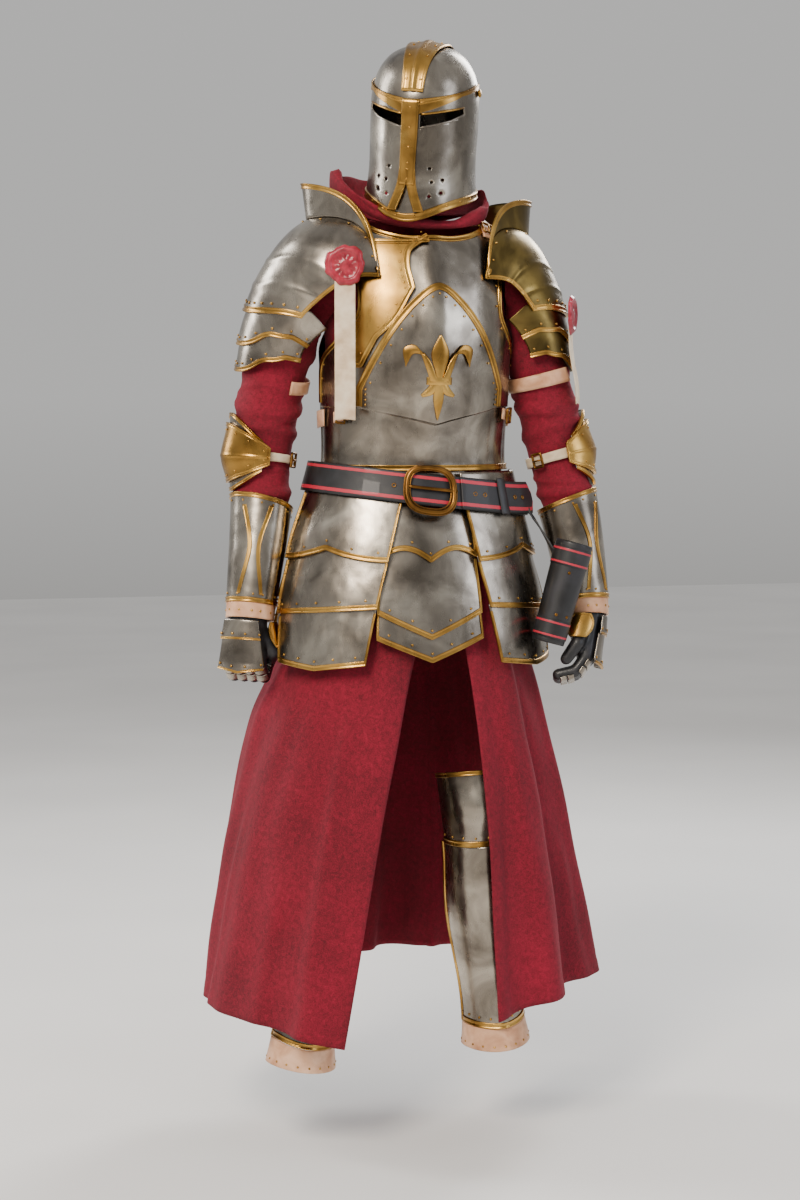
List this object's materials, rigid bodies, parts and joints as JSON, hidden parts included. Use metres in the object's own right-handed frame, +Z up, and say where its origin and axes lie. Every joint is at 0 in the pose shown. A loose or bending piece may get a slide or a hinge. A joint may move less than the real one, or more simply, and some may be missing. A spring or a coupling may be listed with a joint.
{
  "type": "worn suit of live role-play armour",
  "caption": "Knight's costume armour as worn: helm, cuirass, lames and limb plates over a split red robe with cowl, gloves, belt and frog, hollow and standing.",
  "frame": {"origin": "middle of the wearer's shoulders, 1.5 m above the floor, where the suit is worn and carried", "axes": "+Z up, -Y the way the suit faces, +X towards the wearer's left"},
  "size_m": [0.7067, 0.4976, 1.7092],
  "materials": {
    "steel": "polished by hand, soft hammer marks, light smears",
    "brass": "antique brass, polished on its rolled edges, darker in its corners",
    "bronze": "dark antique bronze, worn bright on its edges",
    "red_cloth": "napped crimson wool cloth, matt with a soft sheen",
    "tan_leather": "natural vegetable-tanned leather, waxed",
    "black_leather": "black leather, satin, with red painted lines on belt and frog",
    "wax": "red sealing wax, satin",
    "ribbon": "plain parchment ribbon, blank"
  },
  "bodies": {
    "root": {"arm_strap_left": "tan_leather", "arm_strap_right": "tan_leather", "backplate": "steel", "badge": "brass", "belt": "black_leather", "belt_buckle": "brass", "breastplate": "steel", "chest_plate": "brass", "cowl": "red_cloth", "culet": "steel", "elbow_cop_left": "brass", "elbow_cop_right": "brass", "elbow_lame_left": "steel", "elbow_lame_right": "steel", "elbow_strap_left": "tan_leather", "elbow_strap_right": "tan_leather", "fauld": "steel", "forearm_guard_left": "steel", "forearm_guard_right": "steel", "frog": "black_leather", "glove_left": "black_leather", "glove_right": "black_leather", "hand_plate_left": "steel", "hand_plate_right": "steel", "helm_brow": "brass", "helm_crest": "brass", "helm_nasal": "brass", "helm_shell": "steel", "knee_cop_left": "steel", "knee_cop_right": "steel", "placard": "steel", "robe_back": "red_cloth", "robe_front_left": "red_cloth", "robe_front_right": "red_cloth", "seal_left": "wax", "seal_ribbon_left": "ribbon", "seal_ribbon_right": "ribbon", "seal_right": "wax", "shin_guard_left": "steel", "shin_guard_right": "steel", "shin_leather_left": "tan_leather", "shin_leather_right": "tan_leather", "shoulder_cop_left": "bronze", "shoulder_cop_right": "steel", "shoulder_lame_1_left": "bronze", "shoulder_lame_1_right": "steel", "shoulder_lame_2_left": "bronze", "shoulder_lame_2_right": "steel", "shoulder_strap_left": "tan_leather", "shoulder_strap_right": "tan_leather", "side_strap_left": "tan_leather", "side_strap_right": "tan_leather", "sleeve_left": "red_cloth", "sleeve_right": "red_cloth", "tasset_left": "steel", "tasset_right": "steel", "thumb_plate_left": "brass", "thumb_plate_right": "brass", "wrist_leather_left": "tan_leather", "wrist_leather_right": "tan_leather"}
  },
  "joints": []
}
